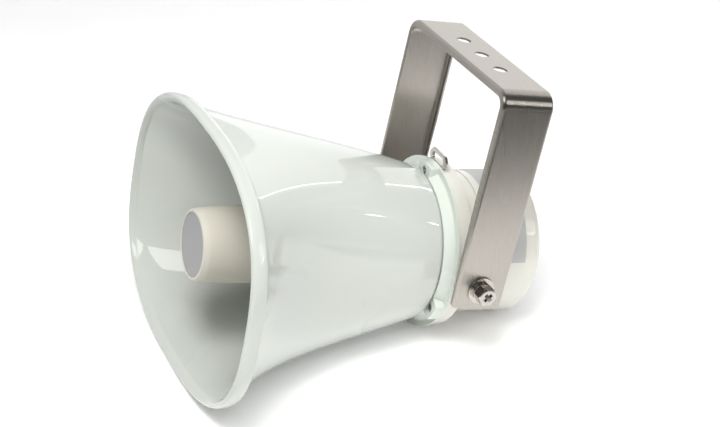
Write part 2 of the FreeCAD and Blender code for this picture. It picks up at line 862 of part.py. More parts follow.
def make_gland_body():
    body = hexagon(gland_across_flats, cover_back, gland_shoulder_y, -gland_down)
    body = body.fuse(gland_rod(gland_thread_radius, cover_floor_y - gland_inside_length, cover_back))
    body = body.fuse(gland_rod(gland_front_thread_radius, gland_shoulder_y, gland_front_y))
    body = body.cut(gland_rod(gland_bore_radius, cover_floor_y - gland_inside_length, gland_front_y))
    return body.cut(gland_rod(gland_seal_radius + snug, seal_seat_y, gland_front_y))


def make_gland_nut():
    straight_y = gland_shoulder_y + gland_nut_straight
    corner = gland_across_flats / math.sqrt(3)
    prism = hexagon(gland_across_flats, gland_shoulder_y, gland_end_y, -gland_down)
    dome = turned([
        line((0, gland_shoulder_y), (corner, gland_shoulder_y)),
        line((corner, gland_shoulder_y), (corner, straight_y)),
        arc((corner, straight_y), (corner - (gland_end_y - straight_y) / 4, (straight_y + gland_end_y) / 2),
            (gland_front_thread_radius, gland_end_y)),
        line((gland_front_thread_radius, gland_end_y), (0, gland_end_y)),
        line((0, gland_end_y), (0, gland_shoulder_y)),
    ])
    dome.translate(Vector(0, 0, -gland_down))
    inner_radius = gland_front_thread_radius + snug
    taper_start = Vector(0, gland_front_y, -gland_down)
    taper_length = gland_end_y - gland_front_y
    taper = Part.makeCone(inner_radius, gland_mouth_radius, taper_length, taper_start, along_axis)
    nut = prism.common(dome)
    return nut.cut([gland_rod(inner_radius, gland_shoulder_y, gland_front_y), taper])


def make_gland_seal():
    seal = gland_rod(gland_seal_radius, seal_seat_y, seal_seat_y + gland_seal_length)
    return seal.cut(gland_rod(gland_seal_bore, seal_seat_y, seal_seat_y + gland_seal_length))


def make_gland_locknut():
    nut = hexagon(gland_across_flats, cover_floor_y - locknut_thick, cover_floor_y, -gland_down)
    return nut.cut(gland_rod(gland_thread_radius + snug, cover_floor_y - locknut_thick, cover_floor_y))


# Mounting bracket: one thin strip pressed into a channel and bent into a square arch

def square_arch(inset, half_width):
    # Solid arch that lies the inset inside the bracket's outer faces, open to below.
    x = leg_outer_x - inset
    top = bracket_rise - inset
    bend = bend_radius - inset
    level = top - bend
    slant = bend * (1 - math.sqrt(0.5))

    def rim(rim_x, z):
        return Vector(rim_x, -half_width, z)

    edges = [
        Part.LineSegment(rim(x, -bracket_drop), rim(x, level)),
        Part.Arc(rim(x, level), rim(x - slant, top - slant), rim(x - bend, top)),
        Part.LineSegment(rim(x - bend, top), rim(bend - x, top)),
        Part.Arc(rim(bend - x, top), rim(slant - x, top - slant), rim(-x, level)),
        Part.LineSegment(rim(-x, level), rim(-x, -bracket_drop)),
        Part.LineSegment(rim(-x, -bracket_drop), rim(x, -bracket_drop)),
    ]
    face = Part.Face(Part.Wire([e.toShape() for e in edges]))
    return face.extrude(Vector(0, 2 * half_width, 0))


def rounded_arch(inset, half_width, edge_round):
    arch = square_arch(inset, half_width)
    rims = [e for e in arch.Edges if e.BoundBox.YLength < 1e-6 and e.BoundBox.ZMax > -bracket_drop + 1e-6]
    return arch.makeFillet(edge_round, rims)


def foot_corner():
    # What comes off one lower corner of both feet to make it round.
    inner = strip_width / 2 - leg_corner_round
    low = leg_corner_round - bracket_drop
    corner = box(-leg_outer_x, leg_outer_x, inner, strip_width / 2, -bracket_drop, low)
    round_end = Vector(-leg_outer_x, inner, low)
    return corner.cut(Part.makeCylinder(leg_corner_round, bracket_width, round_end, sideways))


def edge_wedge():
    # What comes off the turned edges of one leg, so that they run out down to the rounding at the foot.
    edge_x = leg_outer_x - turned_edge_depth
    corners = [
        (leg_outer_x - strip_edge_round, -bracket_drop),
        (edge_x, turned_edge_taper - bracket_drop),
        (edge_x, -bracket_drop),
    ]
    points = [Vector(x, -strip_width / 2, z) for x, z in corners]
    return Part.Face(Part.makePolygon(points + points[:1])).extrude(Vector(0, strip_width, 0))


def make_bracket():
    half = strip_width / 2
    strip = rounded_arch(0, half, strip_edge_round)
    channel = rounded_arch(strip_thick, half - strip_thick, strip_edge_round - strip_thick)
    strip = strip.cut(channel).cut(square_arch(turned_edge_depth, half))
    for wedge in both_sides(edge_wedge()):
        strip = strip.cut(wedge)
    for corner in both_sides(foot_corner()):
        strip = strip.cut(corner)
    strip = strip.cut(side_rod(bolt_radius + pivot_clearance, -leg_outer_x, leg_outer_x))
    first_x = -bracket_hole_spacing * (bracket_hole_count - 1) / 2
    for i in range(bracket_hole_count):
        foot = Vector(first_x + i * bracket_hole_spacing, 0, bracket_rise - strip_thick)
        strip = strip.cut(Part.makeCylinder(bracket_hole_radius, strip_thick, foot))
    strip.rotate(Vector(0, 0, 0), sideways, -bracket_lean)
    return strip


# Pivot hardware on both sides

flat_washer_x = leg_outer_x + flat_washer_thick
bolt_seat_x = flat_washer_x + spring_washer_thick
bolt_top_x = bolt_seat_x + bolt_head_height


def make_bolts():
    # Built along -Y like the other screws, then turned to point sideways.
    head = hexagon(bolt_across_flats, -bolt_head_height, 0)
    flat = bolt_across_flats / 2
    corner = bolt_across_flats / math.sqrt(3)
    crown = turned_corners([
        (0, -bolt_head_height), (flat - bolt_head_chamfer, -bolt_head_height),
        (corner, -bolt_head_height + bolt_head_chamfer), (corner, 0), (0, 0),
    ])
    head = head.common(crown)
    head = head.cut(cross_recess(flat, -bolt_head_height, bolt_head_height * recess_depth_share))
    bolt = head.fuse(rod(bolt_radius, 0, bolt_seat_x - leg_inner_x + bolt_reach)).removeSplitter()
    bolt.rotate(Vector(0, 0, 0), Vector(0, 0, 1), 90)
    bolt.translate(Vector(bolt_seat_x, 0, 0))
    return both_sides(bolt)


def make_spring_washers():
    ring = side_rod(spring_washer_radius, flat_washer_x, bolt_seat_x)
    ring = ring.cut(side_rod(bolt_radius + pivot_clearance, flat_washer_x, bolt_seat_x))
    slit = box(flat_washer_x, bolt_seat_x, 0, spring_washer_gap, 0, spring_washer_radius)
    return both_sides(ring.cut(slit))


def make_flat_washers():
    ring = side_rod(flat_washer_radius, leg_outer_x, flat_washer_x)
    return both_sides(ring.cut(side_rod(bolt_radius + pivot_clearance, leg_outer_x, flat_washer_x)))


def make_inserts():
    start = leg_inner_x - insert_length
    ring = side_rod(insert_radius, start, leg_inner_x).cut(side_rod(bolt_radius + snug, start, leg_inner_x))
    return both_sides(ring)


# All pieces by name; a list is a group of equal, separate solids

pieces = {
    "horn_flare": make_flare(),
    "flare_gasket": make_flare_gasket(),
    "clamp_collar": make_collar(),
    "collar_screws": make_collar_screws(),
    "safety_eye": make_safety_eye(),
    "driver_housing": make_housing(),
    "reflex_bullet": make_bullet(),
    "bullet_badge": make_badge(),
    "throat_tube": make_throat_tube(),
    "throat_screws": make_throat_screws(),
    "phase_plug": make_phase_plug(),
    "diaphragm_clamp": make_diaphragm_clamp(),
    "diaphragm_surround": make_surround(),
    "diaphragm_dome": make_dome(),
    "voice_coil": make_voice_coil(),
    "top_plate": make_top_plate(),
    "magnet_ring": make_magnet(),
    "pole_yoke": make_yoke(),
    "transformer_core": make_core(),
    "transformer_winding": make_winding(),
    "transformer_strap": make_strap(),
    "strap_screws": make_strap_screws(),
    "rear_cover": make_cover(),
    "cover_gasket": make_cover_gasket(),
    "cover_screws": make_cover_screws(),
    "gland_body": make_gland_body(),
    "gland_nut": make_gland_nut(),
    "gland_seal": make_gland_seal(),
    "gland_locknut": make_gland_locknut(),
    "mounting_bracket": make_bracket(),
    "pivot_bolts": make_bolts(),
    "spring_washers": make_spring_washers(),
    "flat_washers": make_flat_washers(),
    "pivot_inserts": make_inserts(),
}

# Rest: the rolled lip and the rounded back edge of the cover both touch the table.

def lip_underside():
    rolls = [lip_roll(i / 100) for i in range(-100, 101)]
    return [(y, inset - mouth_height / 2) for y, inset in rolls]


def cover_underside():
    turns = [math.radians(i) for i in range(91)]
    centre_y = cover_back - cover_round
    centre_z = cover_round - cover_radius
    return [(centre_y + cover_round * math.sin(t), centre_z - cover_round * math.cos(t)) for t in turns]


def lowest(profile, tilt):
    return min(math.cos(tilt) * z - math.sin(tilt) * y for y, z in profile)


def find_rest_tilt():
    # Halve the range until both profiles reach equally low.
    level = 0.0
    steep = math.pi / 4
    for _ in range(60):
        tilt = (level + steep) / 2
        if lowest(lip_underside(), tilt) < lowest(cover_underside(), tilt):
            level = tilt
        else:
            steep = tilt
    return math.degrees(tilt)


rest_tilt = find_rest_tilt()

laid = {}
for name, piece in pieces.items():
    shape = Part.makeCompound(piece) if isinstance(piece, list) else piece
    shape.rotate(Vector(0, 0, 0), sideways, -rest_tilt)
    laid[name] = shape

bounds = Part.makeCompound(list(laid.values())).optimalBoundingBox(False, False)
to_origin = Vector(0, -(bounds.YMin + bounds.YMax) / 2, -bounds.ZMin)

os.makedirs("parts", exist_ok=True)
for name, shape in laid.items():
    shape.translate(to_origin)
    shape.exportStep(os.path.join("parts", name + ".step"))
    state = "valid" if shape.isValid() else "NOT VALID"
    print(name, len(shape.Solids), "solids", round(shape.Volume), "mm3", state)
print("pieces", len(laid), "tilt", round(rest_tilt, 3), "pivot at", [round(v, 3) for v in to_origin])
print("size", round(bounds.XLength, 2), round(bounds.YLength, 2), round(bounds.ZLength, 2))
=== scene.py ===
# %% [markdown]
# # A reflex horn loudspeaker
# This lesson dresses a finished CAD model of a horn speaker: a wide glossy flare, a clamp collar, an
# ivory driver housing and a brushed stainless bracket. The CAD solids set every size and place. Blender
# adds the smooth surfaces, the softened edges and the finishes, and then a pale studio to see them in.

# %% Load the frame
import json
import math

import bmesh
import bpy
from mathutils import Matrix, Quaternion, Vector


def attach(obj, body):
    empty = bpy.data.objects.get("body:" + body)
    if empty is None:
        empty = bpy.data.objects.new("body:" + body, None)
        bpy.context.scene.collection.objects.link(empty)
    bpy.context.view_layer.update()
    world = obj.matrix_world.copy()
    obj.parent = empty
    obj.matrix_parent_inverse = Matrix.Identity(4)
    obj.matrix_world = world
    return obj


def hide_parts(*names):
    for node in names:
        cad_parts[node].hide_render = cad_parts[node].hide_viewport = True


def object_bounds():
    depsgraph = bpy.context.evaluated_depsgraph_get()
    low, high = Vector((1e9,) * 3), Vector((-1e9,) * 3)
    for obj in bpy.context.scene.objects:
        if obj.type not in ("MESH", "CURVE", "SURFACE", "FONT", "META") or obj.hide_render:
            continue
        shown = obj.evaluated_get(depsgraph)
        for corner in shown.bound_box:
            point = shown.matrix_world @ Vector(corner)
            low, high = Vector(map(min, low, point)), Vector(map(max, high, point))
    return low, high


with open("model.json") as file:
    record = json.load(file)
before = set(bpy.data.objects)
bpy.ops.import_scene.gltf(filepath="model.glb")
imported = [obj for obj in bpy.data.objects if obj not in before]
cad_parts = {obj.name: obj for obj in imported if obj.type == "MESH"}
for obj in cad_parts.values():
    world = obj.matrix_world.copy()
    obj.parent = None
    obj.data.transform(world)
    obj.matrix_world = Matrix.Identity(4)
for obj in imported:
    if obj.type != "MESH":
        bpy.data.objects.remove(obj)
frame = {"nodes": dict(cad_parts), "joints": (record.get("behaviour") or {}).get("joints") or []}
cad_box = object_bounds()
nodes = frame["nodes"]

# %% [markdown]
# ## The bench frame
# The speaker lies tipped on a table, so its horn axis isn't level. Turned pieces are far easier to model
# on a bench where the axis runs straight back along Y and the bracket's pivot is the X axis. The two
# joints of the CAD record tell us where that bench is: the hinge gives the pivot, the diaphragm's slide
# gives the axis.

# %% Bench frame and units
mm = 0.001
joints = {joint["name"]: joint for joint in frame["joints"]}
pivot = Vector(joints["bracket_tilt"]["pos_m"])
horn_axis = Vector(joints["diaphragm_travel"]["axis"])
rest_tilt = math.atan2(-horn_axis.z, horn_axis.y)
lay_down = Matrix.Translation(pivot) @ Matrix.Rotation(-rest_tilt, 4, "X")
print("horn axis rises", round(math.degrees(rest_tilt), 2), "degrees towards the mouth")

# %% [markdown]
# ## Small helpers
# Every operator works on whatever is selected, so each step starts by selecting nothing. A finished piece
# keeps its object at the origin with its place in the mesh, which is what `transform_apply` does after
# the piece has been laid down. `hand_over` then hangs the piece on the empty of the body that carries it
# and hides the CAD solids it replaces.


# %% Helpers for starting and finishing a piece
def select_only(*pieces):
    bpy.ops.object.select_all(action="DESELECT")
    for piece in pieces:
        piece.select_set(True)
    if pieces:
        bpy.context.view_layer.objects.active = pieces[0]


def name_active(name):
    piece = bpy.context.active_object
    piece.name = name
    piece.data.name = name
    return piece


def edit(piece):
    select_only(piece)
    bpy.ops.object.mode_set(mode="EDIT")


def leave_edit():
    bpy.ops.object.mode_set(mode="OBJECT")


def lay(piece, matrix=lay_down):
    select_only(piece)
    piece.matrix_world = matrix
    bpy.ops.object.transform_apply(location=True, rotation=True, scale=True)


def apply_modifiers(piece):
    select_only(piece)
    for modifier in list(piece.modifiers):
        bpy.ops.object.modifier_apply(modifier=modifier.name)


def smooth(piece, degrees=35):
    """Smooth shading in which large faces set the normals, so a flat stays flat beside a small round."""
    select_only(piece)
    bpy.ops.object.shade_smooth_by_angle(angle=math.radians(degrees))
    weighted = piece.modifiers.new("face weights", "WEIGHTED_NORMAL")
    weighted.keep_sharp = True
    bpy.ops.object.modifier_apply(modifier=weighted.name)


def add_bevel(piece, width, segments, degrees):
    bevel = piece.modifiers.new("soft edges", "BEVEL")
    bevel.width = width
    bevel.segments = segments
    bevel.limit_method = "ANGLE"
    bevel.angle_limit = math.radians(degrees)


def hand_over(piece, body, slot, *replaced):
    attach(piece, body)
    if replaced:
        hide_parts(*replaced)
    piece.data.calc_loop_triangles()
    print(piece.name, "has", len(piece.data.loop_triangles), "triangles and rides on", body)


# %% [markdown]
# ## Glossy coats
# The flare and the collar wear a thick glossy coat, off-white with a breath of green. Such a coat is
# never one flat colour: it drifts a little from place to place, and under a lamp its surface shows a
# faint orange peel. One function makes all the coated finishes. A slow noise drifts the colour, a fine
# noise makes the peel, and the shader's own coat layer gives the sharp reflections over a softer body.


# %% Coated finishes
def new_finish(name):
    finish = bpy.data.materials.new(name)
    finish.use_nodes = True
    tree = finish.node_tree
    shader = tree.nodes["Principled BSDF"]
    place = tree.nodes.new("ShaderNodeTexCoord")
    return finish, tree, shader, place.outputs["Object"]


def add_noise(tree, place, scale, detail, stretch=None, turn=None):
    noise = tree.nodes.new("ShaderNodeTexNoise")
    noise.inputs["Scale"].default_value = scale
    noise.inputs["Detail"].default_value = detail
    if stretch is None:
        tree.links.new(place, noise.inputs["Vector"])
        return noise.outputs["Fac"]
    mapping = tree.nodes.new("ShaderNodeMapping")
    mapping.inputs["Scale"].default_value = stretch
    mapping.inputs["Rotation"].default_value = turn or (0, 0, 0)
    tree.links.new(place, mapping.inputs["Vector"])
    tree.links.new(mapping.outputs["Vector"], noise.inputs["Vector"])
    return noise.outputs["Fac"]


def add_ramp(tree, factor, low, high, start=0.2, end=0.8):
    ramp = tree.nodes.new("ShaderNodeValToRGB")
    ramp.color_ramp.interpolation = "EASE"
    ramp.color_ramp.elements[0].position = start
    ramp.color_ramp.elements[0].color = (*low, 1)
    ramp.color_ramp.elements[1].position = end
    ramp.color_ramp.elements[1].color = (*high, 1)
    tree.links.new(factor, ramp.inputs["Fac"])
    return ramp.outputs["Color"]


def add_range(tree, factor, low, high):
    span = tree.nodes.new("ShaderNodeMapRange")
    span.interpolation_type = "SMOOTHSTEP"
    span.inputs["From Min"].default_value = 0.2
    span.inputs["From Max"].default_value = 0.8
    span.inputs["To Min"].default_value = low
    span.inputs["To Max"].default_value = high
    tree.links.new(factor, span.inputs["Value"])
    return span.outputs["Result"]


def add_bump(tree, shader, factor, strength, depth):
    bump = tree.nodes.new("ShaderNodeBump")
    bump.inputs["Strength"].default_value = strength
    bump.inputs["Distance"].default_value = depth
    tree.links.new(factor, bump.inputs["Height"])
    tree.links.new(bump.outputs["Normal"], shader.inputs["Normal"])


def coated(name, low, high, rough=(0.25, 0.3), coat=1.0, under=0.05, peel=0.02):
    finish, tree, shader, place = new_finish(name)
    drift = add_noise(tree, place, 9, 3)
    tree.links.new(add_ramp(tree, drift, low, high), shader.inputs["Base Color"])
    tree.links.new(add_range(tree, drift, *rough), shader.inputs["Roughness"])
    add_bump(tree, shader, add_noise(tree, place, 420, 2), peel, 0.2 * mm)
    shader.inputs["Specular IOR Level"].default_value = under
    shader.inputs["Coat Weight"].default_value = coat
    shader.inputs["Coat Roughness"].default_value = 0.02
    return finish


flare_coat = coated("flare_coat", (0.515, 0.54, 0.50), (0.53, 0.555, 0.515))
collar_coat = coated("collar_coat", (0.60, 0.643, 0.583), (0.62, 0.66, 0.60))
housing_gloss = coated("housing_gloss", (0.665, 0.655, 0.588), (0.685, 0.675, 0.607), coat=0.8, under=0.15)
print("coats:", flare_coat.name, collar_coat.name, housing_gloss.name)

# %% [markdown]
# ## Satin plastics
# The bullet in the mouth is moulded in warm beige with a satin skin, and the gland at the rear is grey
# nylon. A moulded skin scatters light over a fine grain, so here the bump is finer and stronger than on
# the coats, the roughness is high and there is no clear layer on top.


# %% Satin finishes
def satin(name, low, high, rough, grain=0.12, grain_scale=1400):
    finish, tree, shader, place = new_finish(name)
    drift = add_noise(tree, place, 14, 4)
    tree.links.new(add_ramp(tree, drift, low, high), shader.inputs["Base Color"])
    tree.links.new(add_range(tree, drift, *rough), shader.inputs["Roughness"])
    add_bump(tree, shader, add_noise(tree, place, grain_scale, 2), grain, 0.1 * mm)
    return finish


bullet_satin = satin("bullet_satin", (0.60, 0.57, 0.495), (0.625, 0.593, 0.516), (0.38, 0.45))
badge_satin = satin("badge_satin", (0.30, 0.30, 0.305), (0.34, 0.34, 0.345), (0.38, 0.5), 0.08, 2200)
gland_nylon = satin("gland_nylon", (0.30, 0.31, 0.31), (0.35, 0.36, 0.36), (0.45, 0.6))
seal_rubber = satin("seal_rubber", (0.018, 0.018, 0.018), (0.035, 0.035, 0.035), (0.6, 0.8), 0.3)
seal_silicone = satin("seal_silicone", (0.50, 0.48, 0.42), (0.55, 0.53, 0.47), (0.5, 0.6), 0.2)
resin_black = satin("resin_black", (0.02, 0.02, 0.022), (0.04, 0.04, 0.042), (0.4, 0.55))
film_amber = satin("film_amber", (0.28, 0.15, 0.05), (0.38, 0.22, 0.08), (0.3, 0.42))
ferrite_dark = satin("ferrite_dark", (0.03, 0.03, 0.032), (0.06, 0.06, 0.065), (0.5, 0.7), 0.3, 900)
label_silver = satin("label_silver", (0.425, 0.425, 0.42), (0.47, 0.47, 0.465), (0.3, 0.4), 0.05, 2600)
print("satin finishes:", bullet_satin.name, badge_satin.name, gland_nylon.name, label_silver.name)

# %% [markdown]
# ## Brushed and turned metal
# The bracket is stainless strip, brushed along its length before it was bent. Brush marks are very long,
# very thin streaks, so a noise that is stretched hugely along the strip gives them. Across the strip
# means across Y on both the legs and the bar, so one stretched pattern serves all three runs. It is
# turned with the bracket, which leans back from upright. Brushing also smears reflections across the
# streaks and leaves them crisp along them, so the shader is given the direction across the strip as its
# tangent and a strong anisotropy. That is what draws the clear bands round each bend. Screws and washers
# are small: their streaks are short and only break up the shine.


# %% Metal finishes
def brushed(name, low, high, rough, stretch, turn=None, scratch=0.06, across=None):
    finish, tree, shader, place = new_finish(name)
    streaks = add_noise(tree, place, 1, 5, stretch, turn)
    tree.links.new(add_ramp(tree, streaks, low, high), shader.inputs["Base Color"])
    tree.links.new(add_range(tree, streaks, *rough), shader.inputs["Roughness"])
    add_bump(tree, shader, streaks, scratch, 0.05 * mm)
    shader.inputs["Metallic"].default_value = 1
    if across:
        spread = tree.nodes.new("ShaderNodeVectorTransform")
        spread.vector_type = "VECTOR"
        spread.convert_from = "OBJECT"
        spread.convert_to = "WORLD"
        spread.inputs["Vector"].default_value = across
        tree.links.new(spread.outputs["Vector"], shader.inputs["Tangent"])
        shader.inputs["Anisotropic"].default_value = 0.9
    return finish


bracket_lean = math.radians(2.0)
strip_lean = rest_tilt + bracket_lean
bracket_steel = brushed(
    "bracket_steel",
    (0.40, 0.372, 0.335),
    (0.465, 0.435, 0.398),
    (0.26, 0.33),
    (40, 3600, 40),
    turn=(strip_lean, 0, 0),
    scratch=0.1,
    across=(0, math.cos(strip_lean), -math.sin(strip_lean)),
)
hardware_steel = brushed(
    "hardware_steel", (0.46, 0.433, 0.395), (0.57, 0.54, 0.50), (0.2, 0.28), (900, 300, 300)
)
screw_steel = brushed("screw_steel", (0.30, 0.30, 0.30), (0.42, 0.42, 0.42), (0.25, 0.4), (700, 700, 700))
motor_steel = brushed("motor_steel", (0.42, 0.43, 0.44), (0.52, 0.53, 0.54), (0.3, 0.45), (300, 40, 300))
copper_wire = brushed("copper_wire", (0.60, 0.28, 0.14), (0.75, 0.38, 0.20), (0.25, 0.4), (60, 3000, 60))
insert_brass = brushed("insert_brass", (0.62, 0.45, 0.18), (0.74, 0.56, 0.26), (0.25, 0.4), (900, 300, 300))
print("metals:", bracket_steel.name, hardware_steel.name, screw_steel.name)

# %% [markdown]
# ## The flare
# On the real speaker the flare is one moulding: round where it meets the driver and a wide soft-cornered
# oval at the mouth, where its edge rolls outwards into a lip. It could be a loft of a few curves, but a
# glossy coat shows every wobble of a loft. So we take a flat grid, like a sheet of squared paper, and
# roll it up: each row of the grid becomes one closed section, a superellipse whose width, height and
# squareness grow along the horn.

# %% Flare sizes, in millimetres on the bench
mouth_width, mouth_height, mouth_squareness = 272.0, 193.0, 2.6
mouth_y, lip_back_y, lip_crown_y = -204.0, -192.4, -199.8
lip_front_inset, lip_back_inset, lip_crest = 2.4, 1.6, 3.4
lip_proud_side, lip_proud_top = 6.4, 5.9
flare_wall, shoulder_radius, shoulder_y, shoulder_round = 3.0, 60.0, -23.3, 3.5
neck_radius, neck_bore, flange_radius = 55.5, 53.0, 58.0
flange_front_y, flange_back_y = -16.5, -13.3
wall_start_y = shoulder_y - shoulder_round
side_slope, side_power = 0.365, 3.5
top_slope, top_power = 1.75, 1.7
squareness_power = 1.5


def flare_size(y):
    share = max(0.0, (wall_start_y - y) / (wall_start_y - lip_back_y))
    side = side_slope * share + (1 - side_slope) * share**side_power
    top = top_slope * share + (1 - top_slope) * share**top_power
    half_width = shoulder_radius + (mouth_width / 2 - lip_proud_side - shoulder_radius) * side
    half_height = shoulder_radius + (mouth_height / 2 - lip_proud_top - shoulder_radius) * top
    return half_width, half_height, 2 + (mouth_squareness - 2) * share**squareness_power


def flare_inside(y):
    step = 0.3
    width, height, squareness = flare_size(y)
    width_ahead, height_ahead, _ = flare_size(y - step)
    width -= flare_wall * math.hypot(1, (width_ahead - width) / step)
    height -= flare_wall * math.hypot(1, (height_ahead - height) / step)
    return width, height, squareness


# %% [markdown]
# The sections are listed in the order a finger would follow them: up the bore of the neck, out along the
# inside to the mouth, over the rolled lip, and back along the outside to the flange. A round section is a
# superellipse too, with a squareness of two, so one rule serves them all. More rows lie where the surface
# turns fastest.


# %% Sections of the flare
def along(start, end, count):
    return [start + (end - start) * i / (count - 1) for i in range(count)]


def lip_section(turn):
    widest = math.radians(80)
    reach = math.sin(abs(turn) * widest) / math.sin(widest)
    inset = (1 - math.cos(turn * widest)) / (1 - math.cos(widest))
    if turn < 0:
        return lip_crown_y + (mouth_y - lip_crown_y) * reach, lip_front_inset * inset
    return lip_crown_y + (lip_back_y - lip_crown_y) * reach, lip_back_inset * inset


def mouth_ring(y, inset):
    return mouth_width / 2 - inset, mouth_height / 2 - inset, mouth_squareness, y


def round_ring(radius, y):
    return radius, radius, 2, y


bore_rows, inside_rows, lip_rows, outside_rows, shoulder_rows = 4, 38, 21, 34, 6
lip_land, crest_behind, lip_foot_drop, lip_fillet = 5.4, 0.45, 0.9, 0.35
inner_start_y = shoulder_y - flare_wall
land_y = mouth_y + lip_land
foot_y = lip_back_y + lip_foot_drop
sections = [round_ring(neck_bore, y) for y in along(flange_back_y, inner_start_y, bore_rows)]
sections += [(*flare_inside(y), y) for y in along(inner_start_y, land_y, inside_rows)]
land = flare_inside(land_y)
for share in (0.2, 0.45, 0.7):
    wide = land[0] + (mouth_width / 2 - lip_crest - land[0]) * share
    high = land[1] + (mouth_height / 2 - lip_crest - land[1]) * share
    sections.append((wide, high, mouth_squareness, land_y + (mouth_y - land_y) * share))
sections += [mouth_ring(mouth_y + crest_behind, lip_crest)]
for turn in along(-1, 1, lip_rows):
    roll_y, roll_inset = lip_section(turn)
    sections.append(mouth_ring(roll_y, roll_inset))
lip_foot = flare_size(foot_y)
lip_edge = mouth_ring(lip_back_y, lip_back_inset)
for share in (0.35, 0.75):
    between = [a + (b - a) * share for a, b in zip(lip_edge[:3], lip_foot)]
    sections.append((*between, lip_back_y + lip_fillet * share))
sections += [(*flare_size(y), y) for y in along(foot_y, wall_start_y, outside_rows)]
for step in range(1, shoulder_rows + 1):
    turn = math.pi / 2 * step / shoulder_rows
    radius = shoulder_radius - shoulder_round * (1 - math.cos(turn))
    sections.append(round_ring(radius, wall_start_y + shoulder_round * math.sin(turn)))
sections += [round_ring(neck_radius, y) for y in (shoulder_y, flange_front_y)]
sections += [round_ring(flange_radius, y) for y in (flange_front_y, flange_back_y)]
sections += [round_ring(neck_bore, flange_back_y)]
print("the flare has", len(sections), "sections")

# %% [markdown]
# The grid has one row of points for each section and one column for each step round the horn. Every point
# is put on its section, and merging the doubles then welds the first column to the last and the last row
# to the first.

# %% Roll the sheet into the flare
ring_points = 176
select_only()
bpy.ops.mesh.primitive_grid_add(x_subdivisions=ring_points, y_subdivisions=len(sections) - 1, size=1)
flare = name_active("flare_shell")
columns = ring_points + 1
for row, (half_width, half_height, squareness, y) in enumerate(sections):
    for column in range(columns):
        angle = 2 * math.pi * column / ring_points
        c, s = math.cos(angle), math.sin(angle)
        x = half_width * math.copysign(abs(c) ** (2 / squareness), c)
        z = half_height * math.copysign(abs(s) ** (2 / squareness), s)
        flare.data.vertices[row * columns + column].co = Vector((x, y, z)) * mm
edit(flare)
bpy.ops.mesh.select_all(action="SELECT")
bpy.ops.mesh.remove_doubles(threshold=0.01 * mm)
bpy.ops.mesh.normals_make_consistent(inside=False)
leave_edit()
lay(flare)
smooth(flare, 40)
flare.data.materials.append(flare_coat)
hand_over(flare, "speaker", "flare_gloss", "horn_flare")

# %% [markdown]
# ## The bullet
# The bullet is a turned-looking cup that folds the horn: sound comes up the throat tube, turns back inside
# the cup and turns once more into the flare. It could be a stack of cylinders, but a half section that is
# spun about the axis gives it the way a lathe would, wall thickness included. The first corner is one
# vertex, each next corner is an extrusion of the last, and `rounded` swaps a hard corner for a short arc.


# %% Turning tools
def rounded(corners, segments=6):
    """Points of a closed section from (radius, y, round) corners, with an arc where round isn't zero."""
    points = []
    for i, (r, y, size) in enumerate(corners):
        corner = Vector((r, y))
        if size == 0:
            points.append(corner)
            continue
        before = Vector(corners[i - 1][:2]) - corner
        after = Vector(corners[(i + 1) % len(corners)][:2]) - corner
        half = before.angle(after) / 2
        reach = size / math.tan(half)
        centre = corner + (before.normalized() + after.normalized()).normalized() * size / math.sin(half)
        start = (corner + before.normalized() * reach - centre).normalized()
        end = (corner + after.normalized() * reach - centre).normalized()
        for k in range(segments + 1):
            points.append(centre + start.slerp(end, k / segments) * size)
    return points


def turned(name, corners, steps=128):
    """A solid of revolution about Y from a closed section of (radius, y, round) corners in millimetres."""
    points = [Vector((p.x, p.y, 0)) * mm for p in rounded(corners)]
    select_only()
    bpy.ops.mesh.primitive_plane_add(size=mm)
    piece = name_active(name)
    edit(piece)
    bpy.ops.mesh.merge(type="CENTER")
    bpy.ops.transform.translate(value=points[0])
    for here, there in zip(points, points[1:] + points[:1]):
        bpy.ops.mesh.extrude_vertices_move(TRANSFORM_OT_translate={"value": there - here})
    bpy.ops.mesh.select_all(action="SELECT")
    bpy.ops.mesh.remove_doubles(threshold=0.001 * mm)
    bpy.ops.mesh.spin(steps=steps, angle=2 * math.pi, center=(0, 0, 0), axis=(0, 1, 0))
    bpy.ops.mesh.select_all(action="SELECT")
    bpy.ops.mesh.remove_doubles(threshold=0.001 * mm)
    bpy.ops.mesh.normals_make_consistent(inside=False)
    leave_edit()
    return piece


# %% [markdown]
# The bullet's section starts at the shallow seat for the disc, goes over the front edge and back along
# the gently swelling outside, and returns along the inside to the floor of the cup.

# %% Turn the bullet
bullet_face_y, bullet_neck_y, bullet_swell_y, bullet_back_y = -198.0, -193.5, -183.0, -60.0
badge_seat_y, bullet_floor_y = -196.7, -193.5
badge_seat_radius, bullet_face_radius = 23.9, 25.7
bullet_neck_radius, bullet_swell_radius, bullet_back_radius = 27.2, 27.8, 33.0
bullet_back_bore, bullet_swell_bore, bullet_floor_bore = 30.5, 25.1, 23.1
bullet = turned("bullet_cup", [
    (0, badge_seat_y, 0),
    (badge_seat_radius, badge_seat_y, 0),
    (badge_seat_radius, bullet_face_y, 0.2),
    (bullet_face_radius, bullet_face_y, 1.2),
    (bullet_neck_radius, bullet_neck_y, 8),
    (bullet_swell_radius, bullet_swell_y, 40),
    (bullet_back_radius, bullet_back_y, 0.8),
    (bullet_back_bore, bullet_back_y, 0.8),
    (bullet_swell_bore, bullet_swell_y, 0),
    (bullet_floor_bore, bullet_floor_y, 0),
    (0, bullet_floor_y, 0),
])
lay(bullet)
smooth(bullet)
bullet.data.materials.append(bullet_satin)
hand_over(bullet, "speaker", "bullet_beige", "reflex_bullet")

# %% [markdown]
# ## The bracket
# The bracket is thin stainless strip. Its two long edges are turned inwards for stiffness, so the strip
# is really a shallow channel, and the turned edges run out towards the feet. Boxes could be glued
# together, but a press bends one sheet, so we do the same: draw the channel's section at one foot, draw
# it up the leg, spin it round the bend, run it along the bar and down the other side. Solidify then gives
# the sheet its thickness inwards.

